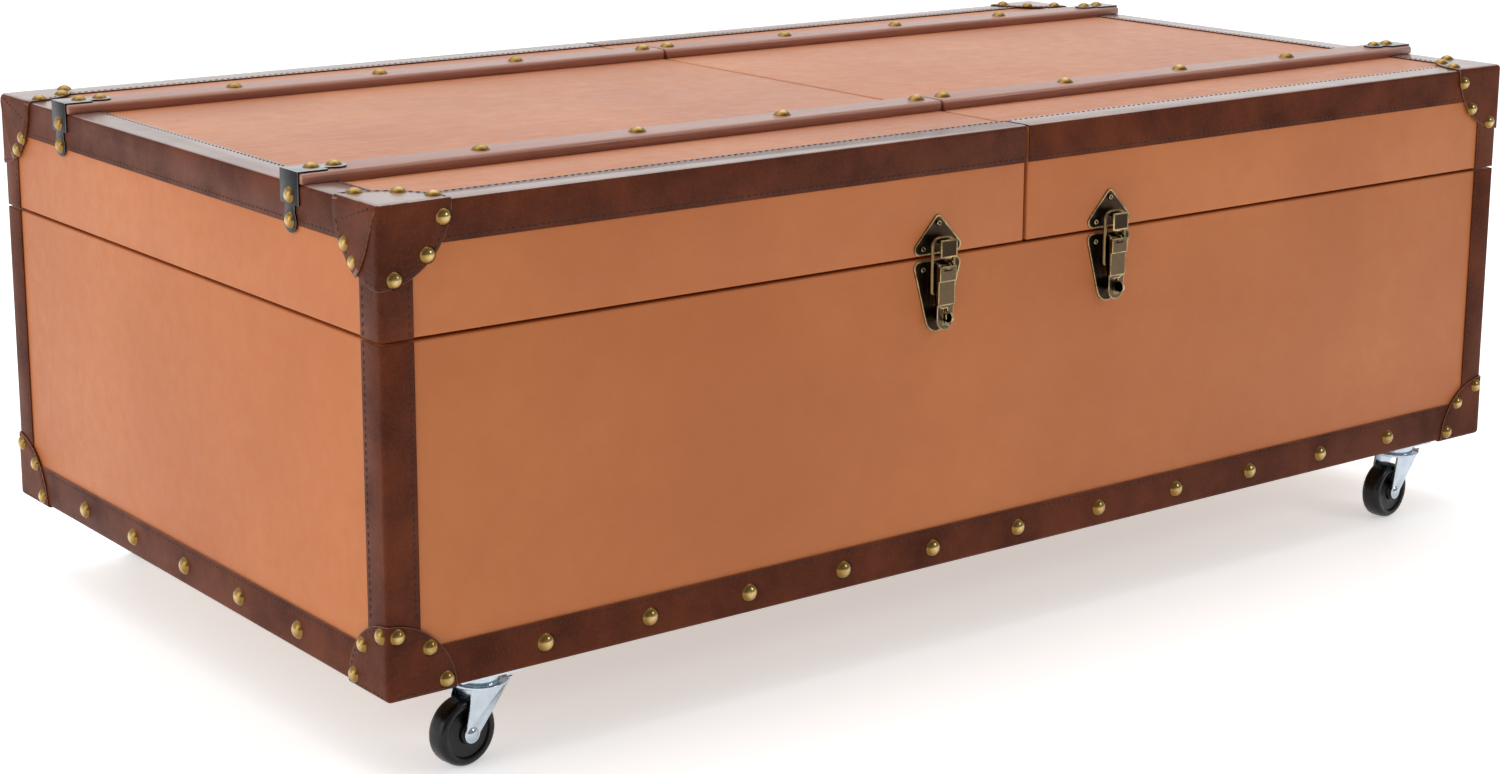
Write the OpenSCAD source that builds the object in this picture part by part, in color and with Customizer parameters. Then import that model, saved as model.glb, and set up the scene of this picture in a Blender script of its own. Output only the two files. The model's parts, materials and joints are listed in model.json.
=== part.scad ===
// Low steamer trunk on casters: a leather-covered case with two lids side by side.
// X runs along the front, the front faces -Y, +Z is up. The origin is on the floor, under the
// middle of the case.

/* [Case] */
// Width of the case over its boards
case_w = 1113; // [800:1:1400]
// Depth of the case over its boards
case_d = 593; // [440:1:760]
// Height of the case body, from its underside to its rim
body_h = 238; // [160:1:360]
// Thickness of the boards of the case walls
board_t = 12; // [9:1:18]
// Thickness of the floor board
floor_t = 12; // [9:1:18]
// Height of the tongue strips above the rim
tongue_rise = 6; // [3:0.5:10]
// Depth of the tongue strips below the rim
tongue_drop = 24; // [12:1:40]
// Thickness of the tongue strips
tongue_t = 4; // [3:0.5:6]

/* [Lids] */
// Height of each lid
lid_h = 87; // [70:1:140]
// Thickness of the top board of each lid
top_t = 10; // [8:1:15]
// Gap between the lids and the rim of the case
seam_gap = 2; // [1:0.5:4]
// Gap between the two lids
split_gap = 3; // [2:0.5:6]
// Clearance between the tongue strips and the lid walls
tongue_gap = 2; // [1:0.5:3]
// How far each lid opens, in degrees
lid_opening = 95; // [80:1:100]

/* [Leather] */
// Thickness of the binding leather
binding_t = 1.2; // [0.8:0.1:2]
// Width on each face of the binding along the lid edges
edge_w = 27; // [20:1:36]
// Width on each face of the binding up the corners
corner_w = 24; // [16:1:32]
// Height of the binding around the foot of the case
foot_w = 30; // [24:1:40]
// How far the foot binding folds under the case
foot_fold = 10; // [6:1:14]
// Thickness of the corner caps
cap_t = 1.4; // [0.8:0.1:2]
// Reach of a lid's corner caps from the corner
lid_cap_r = 56; // [46:1:60]
// Reach of the case's corner caps from the corner
foot_cap_r = 53; // [46:1:60]

/* [Nails] */
// Radius of the large domed nail heads
nail_r = 7; // [5:0.1:9]
// Height of the large domed nail heads
nail_h = 4; // [2:0.1:5]
// Radius of the smaller nail heads on the caps and clips
small_nail_r = 6; // [4:0.1:7]
// Height of the smaller nail heads
small_nail_h = 3.4; // [2:0.1:4]
// Distance between the nails along the foot of the case
nail_pitch = 87; // [50:1:140]
// Height of the foot nails above the underside of the case
foot_nail_z = 14; // [10:0.5:18]
// Distance from a lid's corner to the arc of nails on its cap
lid_nail_reach = 48; // [36:1:50]
// Distance from a foot's corner to the arc of nails on its cap
foot_nail_reach = 43; // [34:1:46]

/* [Slats] */
// Width of the wooden slats
slat_w = 32; // [24:1:50]
// Thickness of the wooden slats
slat_t = 7; // [5:0.5:12]
// Rounding of the slats' upper edges
slat_round = 3; // [1:0.5:5]
// Distance from the front or back face to the middle of a slat
slat_inset = 112; // [80:1:160]
// Number of nails along each slat, besides the clip's own
slat_nails = 4; // [3:1:7]
// Distance from the split to the first slat nail
slat_nail_first = 12; // [9:1:30]
// Distance from the outer end to the last slat nail
slat_nail_last = 146; // [80:1:200]

/* [Clips] */
// Width of the clips over the slat ends
clip_w = 25; // [18:1:32]
// Thickness of the clips
clip_t = 1.4; // [1:0.1:2]
// Distance from a clip's fold to its nearer nail
clip_nail_near = 17; // [12:1:20]
// Distance from a clip's fold to its further nail
clip_nail_far = 34; // [30:1:40]

/* [Hinges] */
// Width of each hinge
hinge_w = 60; // [40:1:90]
// Height of each hinge leaf
leaf_h = 30; // [20:1:45]
// Thickness of the hinge leaves
leaf_t = 1.8; // [1.2:0.1:2.4]
// Radius of the hinge barrels
barrel_r = 4; // [3:0.1:5]
// Radius of the hinge pins
hinge_pin_r = 2; // [1.5:0.1:2.5]
// Distance from each end of a lid to the middle of the nearer hinge
hinge_inset = 95; // [60:1:160]

/* [Latches] */
// Distance from the middle of the trunk to each latch
latch_offset = 88; // [50:1:250]
// Thickness of the latch plates
plate_t = 1.5; // [1:0.1:2]
// Width of the latch levers
lever_w = 16; // [12:0.5:20]
// Thickness of the sheet that the levers are folded from
lever_sheet = 1.3; // [1:0.1:2]
// Radius of the latch loop's wire
wire_r = 1.4; // [1:0.1:1.8]
// Length of the latch loop's legs
loop_leg = 33; // [26:1:40]
// Radius of the lever pins
lever_pin_r = 1.5; // [1:0.1:2]
// Radius of the padlock hole in the staple
padlock_r = 2.8; // [2:0.1:3.2]
// How far each lever opens, in degrees
lever_opening = 100; // [60:5:105]
// How far each loop swings out, in degrees
loop_swing = 90; // [45:5:95]

/* [Casters] */
// Height from the top of the wheels to the underside of the case
caster_head = 18; // [16:0.5:30]
// Radius of the wheels
wheel_r = 24; // [20:0.5:30]
// Width of the wheels' treads
wheel_w = 17; // [14:1:24]
// Distance from the swivel axis to the wheel's axle
trail = 16; // [12:1:22]
// Gap between a caster plate and the foot cap beside it
caster_gap = 4.5; // [0.5:0.5:60]
// Distance from the front or back face to a swivel axis
caster_inset_y = 21; // [19:1:80]
// Radius of the wheel axles
axle_r = 3; // [2:0.5:4]
// Direction that the front left caster trails in, in degrees
turn_fl = 188; // [0:1:360]
// Direction that the front right caster trails in, in degrees
turn_fr = 187; // [0:1:360]
// Direction that the back left caster trails in, in degrees
turn_bl = 20; // [0:1:360]
// Direction that the back right caster trails in, in degrees
turn_br = 340; // [0:1:360]

/* [Hidden] */
$fn = 48;

TAN = "#ad6b45";
BROWN = "#4f2e24";
WOOD = "#8a4b3c";
BRASS = "#b59a5b";
IRON = "#3a3d3e";
BRONZE = "#4a4033";
ZINC = "#c9d2d8";
BLACK = "#151515";

LEFT = -1;
RIGHT = 1;

// Heights of the main levels
caster_h = 2 * wheel_r + caster_head;
rim_z = caster_h + body_h;
seam_z = rim_z + seam_gap / 2;
lid_z = rim_z + seam_gap;
top_z = lid_z + lid_h;

// Lids
lid_wall_t = board_t - tongue_gap;
lid_len = case_w / 2 - split_gap / 2;
cap_out = binding_t + cap_t;

// A running fit's radial clearance, and the smaller one of a pin held in its own part
running_fit = 0.05;
held_fit = 0.02;

// Hinge line, just behind the back face
hinge_back = barrel_r + 0.2;
hinge_y = case_d / 2 + hinge_back;
knuckles = 5;
knuckle_w = hinge_w / knuckles;
knuckle_gap = 0.3;
leaf_gap = 0.6;

// Latch measures, on a flat layout: across, up from the seam, out from the front face
latch_corner_r = 5;
latch_corner_x = 17.5;
latch_apex_r = 4;
latch_apex_up = 27;
latch_foot_r = 11;
latch_foot_up = -46;
rivet_r = 2.2;
rivet_h = 1.2;
catch_up = 13;
catch_out = 12.5;
catch_stem_w = 11;
catch_lip_drop = 12;
catch_lip_rise = 1.5;
loop_out = 7;
loop_x = lever_w / 2 + 1 + wire_r;
loop_bend = 6;
loop_curl = 2;
loop_top = catch_up + wire_r + 0.45;
pivot_up = -7.5;
pivot_out = 7;
pivot_knuckle_r = 5;
lever_step_up = -17;
lever_end_up = -35;
lever_step_out = 13.5;
lever_end_out = 12;
ear_t = 1.2;
ear_r = 3.2;
tab_r = lever_w / 2;
tab_up = -46;
tab_out = 9.5;
staple_up = -43.5;
staple_half_t = 1;
staple_half_w = 4.2;
staple_slot_gap = 0.8;
staple_hole_out = tab_out + lever_sheet + padlock_r + 1.6;

// Caster measures, down from the top of the plates, which lie over the foot binding's fold
caster_top = caster_h - binding_t;
caster_plate = [48, 36, 2];
caster_hole = [18.5, 12.5];
caster_inset_x = foot_cap_r + caster_gap + caster_plate[0] / 2;
caster_screw_r = 3.6;
caster_screw_h = 1.8;
screw_hole_r = 2.2;
race_r = 14;
race_hole_r = 8;
crown_r = 19.5;
crown_top = 8;
crown_t = 2;
king_pin_r = 4;
king_head_r = 7;
king_head_h = 2.6;
fork_gap = 0.3;
leg_t = 2;
hub_half_w = wheel_w / 2 + 1;
leg_inner = hub_half_w + 0.25;
axle_z = wheel_r - caster_top;
leg_eye_r = 6.5;
leg_front_x = 20;
leg_back_x = trail - 1.6;
rivet_head_r = 5;
rivet_head_h = 2;

// [suffix, side across, side front to back, trailing direction]
CASTERS = [
    ["fl", -1, -1, turn_fl], ["fr", 1, -1, turn_fr],
    ["bl", -1, 1, turn_bl], ["br", 1, 1, turn_br]
];
CORNERS = [[-1, -1], [1, -1], [-1, 1], [1, 1]];

// Angles of the nails on a cap, from one edge of its face to the other
CAP_NAILS = [12, 44, 78];
FOOT_NAILS = [8, 45, 82];
FLAP_NAILS = [36, 54];

// ---------- shared shapes ----------

// A domed head of radius r and height h, standing on the XY plane
module dome(r, h) {
    ball = (r * r + h * h) / (2 * h);
    intersection() {
        translate([0, 0, h - ball]) sphere(ball);
        cylinder(r = r, h = h);
    }
}

// A dome that stands out of the front (-Y), back (+Y) or an end face
module dome_front(r, h) rotate([90, 0, 0]) dome(r, h);
module dome_back(r, h) rotate([-90, 0, 0]) dome(r, h);
module dome_end(side, r, h) rotate([0, side * 90, 0]) dome(r, h);

// Children mirrored to face the side given by each sign
module facing(x, y, z = -1) {
    mirror([x > 0 ? 1 : 0, 0, 0]) mirror([0, y > 0 ? 1 : 0, 0]) mirror([0, 0, z > 0 ? 1 : 0])
        children();
}

// The shape around two circles that lie apart, with its straight sides touching both
module strap(p1, r1, p2, r2) {
    gap = norm(p2 - p1);
    lean = acos((r1 - r2) / gap);
    along = atan2(p2[1] - p1[1], p2[0] - p1[0]);
    polygon([
        for (a = [along + lean, along - lean]) p1 + r1 * [cos(a), sin(a)],
        for (a = [along - lean, along + lean]) p2 + r2 * [cos(a), sin(a)]
    ]);
    translate(p1) circle(r1);
    translate(p2) circle(r2);
}

// A quarter of a disc, in the corner where x and y are positive
module quarter_disc(r, h) {
    intersection() {
        cylinder(r = r, h = h, $fn = 96);
        cube([r, r, h]);
    }
}

// A leather cap on the corner at the origin of a box that lies towards +X, +Y and +Z
module corner_cap(r) {
    translate([-cap_out, -binding_t, -cap_out]) rotate([90, 0, 0]) quarter_disc(r, cap_t);
    mirror([1, -1, 0])
        translate([-cap_out, -binding_t, -cap_out]) rotate([90, 0, 0]) quarter_disc(r, cap_t);
    translate([-cap_out, -cap_out, -cap_out]) quarter_disc(r, cap_t);
}

// The nails of such a cap, at the given angles on its front, end and flat faces
module cap_nails(reach, front, end, flat) {
    for (a = front)
        translate([reach * cos(a), -cap_out, reach * sin(a)])
            dome_front(small_nail_r, small_nail_h);
    for (a = end)
        translate([-cap_out, reach * cos(a), reach * sin(a)])
            dome_end(-1, small_nail_r, small_nail_h);
    for (a = flat)
        translate([reach * cos(a), reach * sin(a), -cap_out])
            rotate([180, 0, 0]) dome(small_nail_r, small_nail_h);
}

// Two strips of binding up the corner at the origin of such a box
module corner_binding(h) {
    translate([-binding_t, -binding_t, 0]) cube([corner_w + binding_t, binding_t, h]);
    translate([-binding_t, -binding_t, 0]) cube([binding_t, corner_w + binding_t, h]);
}

// ---------- case ----------

module case_floor() color(TAN)
    translate([board_t - case_w / 2, board_t - case_d / 2, caster_h])
        cube([case_w - 2 * board_t, case_d - 2 * board_t, floor_t]);

module case_long_wall(side) color(TAN)
    translate([-case_w / 2, side > 0 ? case_d / 2 - board_t : -case_d / 2, caster_h])
        cube([case_w, board_t, body_h]);

module case_end_wall(side) color(TAN)
    translate([side > 0 ? case_w / 2 - board_t : -case_w / 2, board_t - case_d / 2, caster_h])
        cube([board_t, case_d - 2 * board_t, body_h]);

// Six strips inside the rim; they stop short of the lids' inner ends
module case_tongue() color(BROWN) {
    inner_w = case_w - 2 * board_t;
    inner_d = case_d - 2 * board_t;
    strip_h = tongue_drop + tongue_rise;
    stop_x = split_gap / 2 + lid_wall_t + tongue_gap;
    strip_z = rim_z - tongue_drop;
    for (x = [LEFT, RIGHT]) {
        for (y = [-1, 1])
            translate([
                x > 0 ? stop_x : -inner_w / 2,
                y > 0 ? inner_d / 2 - tongue_t : -inner_d / 2,
                strip_z
            ])
                cube([inner_w / 2 - stop_x, tongue_t, strip_h]);
        translate([
            x > 0 ? inner_w / 2 - tongue_t : -inner_w / 2,
            tongue_t - inner_d / 2,
            strip_z
        ])
            cube([tongue_t, inner_d - 2 * tongue_t, strip_h]);
    }
}

module foot_binding() color(BROWN)
    difference() {
        translate([-case_w / 2 - binding_t, -case_d / 2 - binding_t, caster_h - binding_t])
            cube([case_w + 2 * binding_t, case_d + 2 * binding_t, foot_w + binding_t]);
        translate([-case_w / 2, -case_d / 2, caster_h]) cube([case_w, case_d, body_h]);
        translate([foot_fold - case_w / 2, foot_fold - case_d / 2, 0])
            cube([case_w - 2 * foot_fold, case_d - 2 * foot_fold, caster_h + 1]);
    }

module case_corner_bindings() color(BROWN)
    for (c = CORNERS)
        translate([c[0] * case_w / 2, c[1] * case_d / 2, caster_h + foot_w])
            facing(c[0], c[1]) corner_binding(body_h - foot_w);

module foot_corner_caps() color(BROWN)
    for (c = CORNERS)
        translate([c[0] * case_w / 2, c[1] * case_d / 2, caster_h])
            facing(c[0], c[1]) corner_cap(foot_cap_r);

// The nails along the foot keep their pitch and stay clear of the caps
function steps_along(length) = floor((length / 2 - foot_cap_r - 2 * nail_r) / nail_pitch);

module case_nails() color(BRASS) {
    front_y = case_d / 2 + binding_t;
    end_x = case_w / 2 + binding_t;
    z = caster_h + foot_nail_z;
    for (i = [-steps_along(case_w) : steps_along(case_w)]) {
        translate([i * nail_pitch, -front_y, z]) dome_front(nail_r, nail_h);
        translate([i * nail_pitch, front_y, z]) dome_back(nail_r, nail_h);
    }
    for (i = [-steps_along(case_d) : steps_along(case_d)]) {
        for (side = [LEFT, RIGHT])
            translate([side * end_x, i * nail_pitch, z]) dome_end(side, nail_r, nail_h);
    }
    for (c = CORNERS)
        translate([c[0] * case_w / 2, c[1] * case_d / 2, caster_h])
            facing(c[0], c[1]) cap_nails(foot_nail_reach, FOOT_NAILS, FOOT_NAILS, []);
}

// ---------- hinges ----------

function hinge_xs(side) =
    [for (d = [hinge_inset, lid_len - hinge_inset]) side * (split_gap / 2 + d)];
ALL_HINGES = concat(hinge_xs(LEFT), hinge_xs(RIGHT));

// One leaf below the hinge line, with the knuckles whose number is odd or even
module hinge_leaf(odd) {
    along = [for (k = [0 : knuckles - 1]) -hinge_w / 2 + k * knuckle_w];
    own = [for (k = [0 : knuckles - 1]) if (k % 2 == odd) along[k]];
    other = [for (k = [0 : knuckles - 1]) if (k % 2 != odd) along[k]];
    difference() {
        union() {
            translate([-hinge_w / 2, -hinge_back, -leaf_h])
                cube([hinge_w, leaf_t, leaf_h - leaf_gap]);
            for (x = own)
                translate([x + knuckle_gap / 2, 0, 0])
                    rotate([0, 90, 0]) cylinder(r = barrel_r, h = knuckle_w - knuckle_gap);
        }
        for (x = other)
            translate([x - knuckle_gap / 2, 0, 0])
                rotate([0, 90, 0])
                    cylinder(r = barrel_r + 0.4, h = knuckle_w + knuckle_gap);
        translate([-hinge_w / 2 - 1, 0, 0])
            rotate([0, 90, 0]) cylinder(r = hinge_pin_r + running_fit, h = hinge_w + 2);
    }
}

module leaf_screws()
    for (x = [-1, 0, 1])
        translate([x * hinge_w / 3, leaf_t - hinge_back, -leaf_h / 2])
            dome_back(3, rivet_h);

module hinge_leaves_case() color(IRON)
    for (x = ALL_HINGES) translate([x, hinge_y, seam_z]) hinge_leaf(0);

module hinge_leaves_lid(side) color(IRON)
    for (x = hinge_xs(side))
        translate([x, hinge_y, seam_z]) mirror([0, 0, 1]) hinge_leaf(1);

module hinge_pins() color(IRON)
    for (x = ALL_HINGES)
        translate([x, hinge_y, seam_z])
            rotate([0, 90, 0]) cylinder(r = hinge_pin_r, h = hinge_w + 2, center = true);

module hinge_screws_case() color(IRON)
    for (x = ALL_HINGES) translate([x, hinge_y, seam_z]) leaf_screws();

// ---------- lids ----------

// The left edge of a lid's boards
function lid_x(side) = side > 0 ? split_gap / 2 : -case_w / 2;

module lid_top(side) color(TAN)
    translate([lid_x(side), -case_d / 2, top_z - top_t]) cube([lid_len, case_d, top_t]);

module lid_long_wall(side, y) color(TAN)
    translate([lid_x(side), y > 0 ? case_d / 2 - lid_wall_t : -case_d / 2, lid_z])
        cube([lid_len, lid_wall_t, lid_h - top_t]);

// The wall across an end of a lid: its outer end, or the end at the split
module lid_cross_wall(side, outer) color(TAN) {
    at_right = side > 0 ? outer : !outer;
    translate([
        lid_x(side) + (at_right ? lid_len - lid_wall_t : 0),
        lid_wall_t - case_d / 2,
        lid_z
    ])
        cube([lid_wall_t, case_d - 2 * lid_wall_t, lid_h - top_t]);
}

// Binding round the three outer top edges, and up the two outer corners
module lid_binding(side) color(BROWN) {
    facing(side, -1) {
        difference() {
            translate([-case_w / 2 - binding_t, -case_d / 2 - binding_t, top_z - edge_w])
                cube([lid_len + binding_t, case_d + 2 * binding_t, edge_w + binding_t]);
            translate([-case_w / 2, -case_d / 2, 0]) cube([case_w, case_d, top_z]);
            translate([edge_w - case_w / 2, edge_w - case_d / 2, 0])
                cube([case_w, case_d - 2 * edge_w, 2 * top_z]);
        }
        for (y = [-1, 1])
            translate([-case_w / 2, y * case_d / 2, lid_z])
                facing(-1, y) corner_binding(lid_h - edge_w);
    }
}

module lid_corner_caps(side) color(BROWN)
    for (y = [-1, 1])
        translate([side * case_w / 2, y * case_d / 2, top_z])
            facing(side, y, 1) corner_cap(lid_cap_r);

// A slat's section, flat side down
module slat_section() {
    translate([-slat_w / 2, 0]) square([slat_w, slat_t - slat_round]);
    translate([slat_round - slat_w / 2, 0]) square([slat_w - 2 * slat_round, slat_t]);
    for (x = [-1, 1])
        translate([x * (slat_w / 2 - slat_round), slat_t - slat_round]) circle(slat_round);
}

function slat_ys() = [slat_inset - case_d / 2, case_d / 2 - slat_inset];

// The slats lie on the top board and step up over the binding at the outer end
module lid_slats(side) color(WOOD)
    facing(side, -1)
        for (y = slat_ys())
            difference() {
                translate([-case_w / 2 - binding_t, y, top_z])
                    rotate([90, 0, 90])
                        linear_extrude(lid_len + binding_t) {
                            translate([0, binding_t]) slat_section();
                            translate([-slat_w / 2, 0]) square([slat_w, binding_t]);
                        }
                translate([-case_w / 2 - binding_t - 1, y - slat_w, top_z - 1])
                    cube([edge_w + binding_t + 1, 2 * slat_w, binding_t + 1]);
            }

slat_top = top_z + binding_t + slat_t;
clip_top = slat_top + clip_t;

// One leg of a clip: a plain strap, a neck and a round tongue about the further nail
module clip_leg_shape() {
    tongue_r = small_nail_r + 2.6;
    translate([0, -clip_w / 2]) square([clip_nail_near + small_nail_r, clip_w]);
    translate([clip_nail_near, -tongue_r + 2])
        square([clip_nail_far - clip_nail_near, 2 * tongue_r - 4]);
    translate([clip_nail_far, 0]) circle(tongue_r);
}

module lid_clips(side) color(IRON)
    facing(side, -1)
        for (y = slat_ys())
            translate([-case_w / 2 - binding_t - clip_t, y, clip_top]) {
                translate([0, 0, -clip_t]) linear_extrude(clip_t) clip_leg_shape();
                rotate([0, 90, 0]) linear_extrude(clip_t) clip_leg_shape();
            }

function slat_nail_xs() = [
    for (i = [0 : slat_nails - 1])
        slat_nail_first + i * (lid_len - slat_nail_last - slat_nail_first) / (slat_nails - 1)
];

module lid_nails(side) color(BRASS)
    facing(side, -1) {
        for (y = slat_ys()) {
            for (x = slat_nail_xs())
                translate([-split_gap / 2 - x, y, slat_top]) dome(nail_r, nail_h);
            translate([-case_w / 2 - binding_t - clip_t, y, clip_top])
                for (d = [clip_nail_near, clip_nail_far]) {
                    translate([d, 0, 0]) dome(small_nail_r, small_nail_h);
                    translate([0, 0, -d]) dome_end(LEFT, small_nail_r, small_nail_h);
                }
        }
        for (y = [-1, 1])
            translate([-case_w / 2, y * case_d / 2, top_z])
                facing(-1, y, 1)
                    cap_nails(lid_nail_reach, CAP_NAILS, FLAP_NAILS, CAP_NAILS);
    }

// ---------- latches ----------

// Children laid out across, up and out are put on the front face at a latch
module on_front(side)
    translate([side * latch_offset, -case_d / 2, seam_z]) rotate([90, 0, 0]) children();

module latch_rivets(places)
    for (p = places) translate([p[0], p[1], plate_t]) dome(rivet_r, rivet_h);

// The spade-shaped plate on the lid, with the folded catch that the loop hangs on
module latch_plate_lid(side) color(BRONZE)
    on_front(side) {
        low = latch_corner_r + seam_gap / 2 + 1;
        corners = [[-latch_corner_x, low], [latch_corner_x, low]];
        linear_extrude(plate_t) {
            strap(corners[0], latch_corner_r, corners[1], latch_corner_r);
            for (c = corners) strap(c, latch_corner_r, [0, latch_apex_up], latch_apex_r);
            polygon([corners[0], corners[1], [0, latch_apex_up]]);
        }
        translate([-catch_stem_w / 2, catch_up - plate_t, 0])
            cube([catch_stem_w, plate_t, catch_out]);
        translate([-lever_w / 2, catch_up - catch_lip_drop, catch_out])
            cube([lever_w, catch_lip_drop + catch_lip_rise, plate_t]);
    }

// The shield-shaped plate on the case, with two ears for the lever and the padlock staple
module latch_plate_case(side) color(BRONZE)
    on_front(side) {
        low = -latch_corner_r - seam_gap / 2 - 1;
        corners = [[-latch_corner_x, low], [latch_corner_x, low]];
        linear_extrude(plate_t) {
            strap(corners[0], latch_corner_r, corners[1], latch_corner_r);
            for (c = corners) strap(c, latch_corner_r, [0, latch_foot_up], latch_foot_r);
            polygon([corners[0], corners[1], [0, latch_foot_up]]);
        }
        ear_x = lever_w / 2 - lever_sheet - 0.3 - ear_t;
        for (x = [-ear_x - ear_t, ear_x])
            translate([x, pivot_up, pivot_out])
                rotate([0, 90, 0])
                    difference() {
                        union() {
                            cylinder(r = ear_r, h = ear_t);
                            translate([0, -ear_r, 0])
                                cube([pivot_out - plate_t / 2, 2 * ear_r, ear_t]);
                        }
                        translate([0, 0, -1])
                            cylinder(r = lever_pin_r + held_fit, h = ear_t + 2);
                    }
        translate([-staple_half_t, staple_up, 0])
            rotate([90, 0, 90])
                linear_extrude(2 * staple_half_t)
                    difference() {
                        union() {
                            translate([-staple_half_w, 0])
                                square([2 * staple_half_w, staple_hole_out]);
                            translate([0, staple_hole_out]) circle(staple_half_w);
                        }
                        translate([0, staple_hole_out]) circle(padlock_r);
                    }
    }

// Rivets of the case's latch plates, and the pins that the levers turn on
module latch_rivets_case() color(BRONZE)
    for (side = [LEFT, RIGHT])
        on_front(side) {
            latch_rivets([[-14.7, -8.5], [14.7, -8.5]]);
            translate([-lever_w / 2, pivot_up, pivot_out])
                rotate([0, 90, 0]) cylinder(r = lever_pin_r, h = lever_w);
        }

module lid_rivets(side) color(BRONZE) {
    on_front(side) latch_rivets([[0, 25], [-15, 7], [15, 7]]);
    for (x = hinge_xs(side))
        translate([x, hinge_y, seam_z]) mirror([0, 0, 1]) leaf_screws();
}

// A folded lever: two cheeks and a stepped back, ending in a tab that fits over the staple
module latch_lever(side) color(BRONZE)
    on_front(side) {
        inner_w = lever_w - 2 * lever_sheet;
        back_top = pivot_up + 2;
        difference() {
            union() {
                translate([-lever_w / 2, lever_step_up, pivot_out - pivot_knuckle_r])
                    cube([
                        lever_w,
                        back_top - lever_step_up,
                        lever_step_out - pivot_out + pivot_knuckle_r
                    ]);
                translate([-lever_w / 2, pivot_up, pivot_out])
                    rotate([0, 90, 0]) cylinder(r = pivot_knuckle_r, h = lever_w);
                translate([-lever_w / 2, lever_end_up, pivot_out - pivot_knuckle_r])
                    cube([
                        lever_w,
                        lever_step_up - lever_end_up,
                        lever_end_out - pivot_out + pivot_knuckle_r
                    ]);
            }
            translate([-inner_w / 2, lever_step_up, 0])
                cube([inner_w, -lever_step_up + 5, lever_step_out - lever_sheet]);
            translate([-inner_w / 2, lever_end_up - 1, 0])
                cube([inner_w, lever_step_up - lever_end_up + 2, lever_end_out - lever_sheet]);
            translate([-lever_w, pivot_up, pivot_out])
                rotate([0, 90, 0])
                    cylinder(r = lever_pin_r + running_fit, h = 2 * lever_w);
            // the cheeks' corners are rounded off about the pin, to swing clear of the plate
            difference() {
                translate([-lever_w, pivot_up, 0]) cube([2 * lever_w, 10, pivot_out]);
                translate([-lever_w, pivot_up, pivot_out])
                    rotate([0, 90, 0]) cylinder(r = pivot_knuckle_r, h = 2 * lever_w);
            }
        }
        slot_w = 2 * (staple_half_t + staple_slot_gap);
        slot_h = 2 * (staple_half_w + 2 * staple_slot_gap);
        translate([0, 0, tab_out])
            linear_extrude(lever_sheet)
                difference() {
                    union() {
                        translate([0, tab_up]) circle(tab_r);
                        translate([-lever_w / 2, tab_up])
                            square([lever_w, lever_end_up - tab_up + lever_sheet]);
                    }
                    translate([-slot_w / 2, staple_up - slot_h / 2]) square([slot_w, slot_h]);
                }
    }

// The wire loop: over the catch, down past the lever, and curled in at both ends
module latch_loop(side) color(BRONZE)
    on_front(side)
        translate([0, loop_top, loop_out]) {
            flat = loop_x - loop_bend;
            translate([-flat, 0, 0]) rotate([0, 90, 0]) cylinder(r = wire_r, h = 2 * flat);
            for (x = [0, 1])
                mirror([x, 0, 0]) {
                    translate([flat, -loop_bend, 0])
                        rotate_extrude(angle = 90) translate([loop_bend, 0]) circle(wire_r);
                    translate([loop_x, -loop_bend, 0])
                        rotate([90, 0, 0]) cylinder(r = wire_r, h = loop_leg);
                    translate([loop_x - loop_curl, -loop_bend - loop_leg, 0])
                        rotate([0, 0, -90])
                            rotate_extrude(angle = 90)
                                translate([loop_curl, 0]) circle(wire_r);
                }
        }

// ---------- casters ----------

function caster_at(c) = [
    c[1] * (case_w / 2 - caster_inset_x),
    c[2] * (case_d / 2 - caster_inset_y),
    caster_top
];

// Children with the caster's fork trailing along +X are put in place
module at_caster(i) translate(caster_at(CASTERS[i])) rotate([0, 0, CASTERS[i][3]]) children();

// The screwed-on plates, with their riveted king pins
module caster_plates() color(ZINC)
    for (c = CASTERS)
        translate(caster_at(c)) {
            difference() {
                translate([-caster_plate[0] / 2, -caster_plate[1] / 2, -caster_plate[2]])
                    cube(caster_plate);
                for (x = [-1, 1], y = [-1, 1])
                    translate([x * caster_hole[0], y * caster_hole[1], -caster_plate[2] - 1])
                        cylinder(r = screw_hole_r, h = caster_plate[2] + 2);
            }
            pin_end = crown_top + crown_t + fork_gap;
            translate([0, 0, -pin_end]) cylinder(r = king_pin_r, h = pin_end - 1);
            translate([0, 0, -pin_end]) rotate([180, 0, 0]) dome(king_head_r, king_head_h);
        }

module caster_screws() color(ZINC)
    for (c = CASTERS)
        translate(caster_at(c))
            for (x = [-1, 1], y = [-1, 1])
                translate([x * caster_hole[0], y * caster_hole[1], -caster_plate[2]])
                    rotate([180, 0, 0]) dome(caster_screw_r, caster_screw_h);

// A fork's leg seen from the side, hung from the crown and ending round the axle
module leg_shape() {
    eye = [trail, axle_z];
    difference() {
        union() {
            polygon([
                [-leg_front_x, -crown_top],
                [leg_back_x, -crown_top],
                [trail + leg_eye_r - 0.6, axle_z],
                [trail - 0.7 * leg_eye_r, axle_z - 0.4 * leg_eye_r]
            ]);
            translate(eye) circle(leg_eye_r);
        }
        translate(eye) circle(axle_r + held_fit);
    }
}

module caster_fork(i) color(ZINC)
    at_caster(i) {
        difference() {
            union() {
                translate([0, 0, -crown_top - crown_t]) cylinder(r = crown_r, h = crown_t);
                translate([0, 0, -crown_top])
                    cylinder(r = race_r, h = crown_top - caster_plate[2] - fork_gap);
                translate([0, -leg_inner - leg_t, -crown_top - crown_t])
                    cube([leg_back_x - 1, 2 * (leg_inner + leg_t), crown_t]);
            }
            translate([0, 0, -crown_top])
                cylinder(r = race_hole_r, h = crown_top);
            translate([0, 0, -crown_top - crown_t - 1])
                cylinder(r = king_pin_r + running_fit, h = crown_t + 2);
        }
        for (y = [-leg_inner - leg_t, leg_inner])
            translate([0, y + leg_t, 0]) rotate([90, 0, 0]) linear_extrude(leg_t) leg_shape();
    }

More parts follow.
